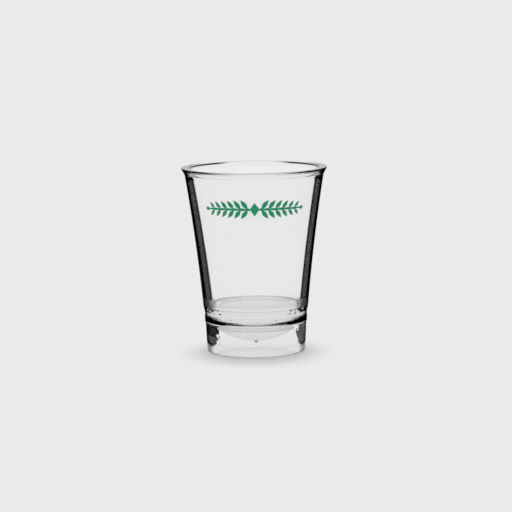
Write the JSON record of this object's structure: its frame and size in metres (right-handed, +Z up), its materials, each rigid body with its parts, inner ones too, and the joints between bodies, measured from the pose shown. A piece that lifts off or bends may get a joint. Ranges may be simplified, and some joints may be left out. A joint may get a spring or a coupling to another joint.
{
  "type": "plastic shot glass",
  "caption": "Clear plastic shot glass: tapered thick-walled cup with an out-turned lip and a solid domed base, standing on a clear foot ring, with a green printed leaf sprig on the front.",
  "frame": {"origin": "centre of the foot ring's rest face, on the surface the glass stands on", "axes": "+Z up along the glass's axis of turning, -Y towards the viewer of the picture, where the print is centred, +X to the right"},
  "size_m": [0.048, 0.048, 0.0612],
  "materials": {
    "clear_plastic": "clear injection-moulded plastic, polished mould surface",
    "green_ink": "opaque screen-printed ink, satin"
  },
  "bodies": {
    "root": {"cup": "clear_plastic", "foot_ring": "clear_plastic", "sprig_print": "green_ink"}
  },
  "joints": []
}
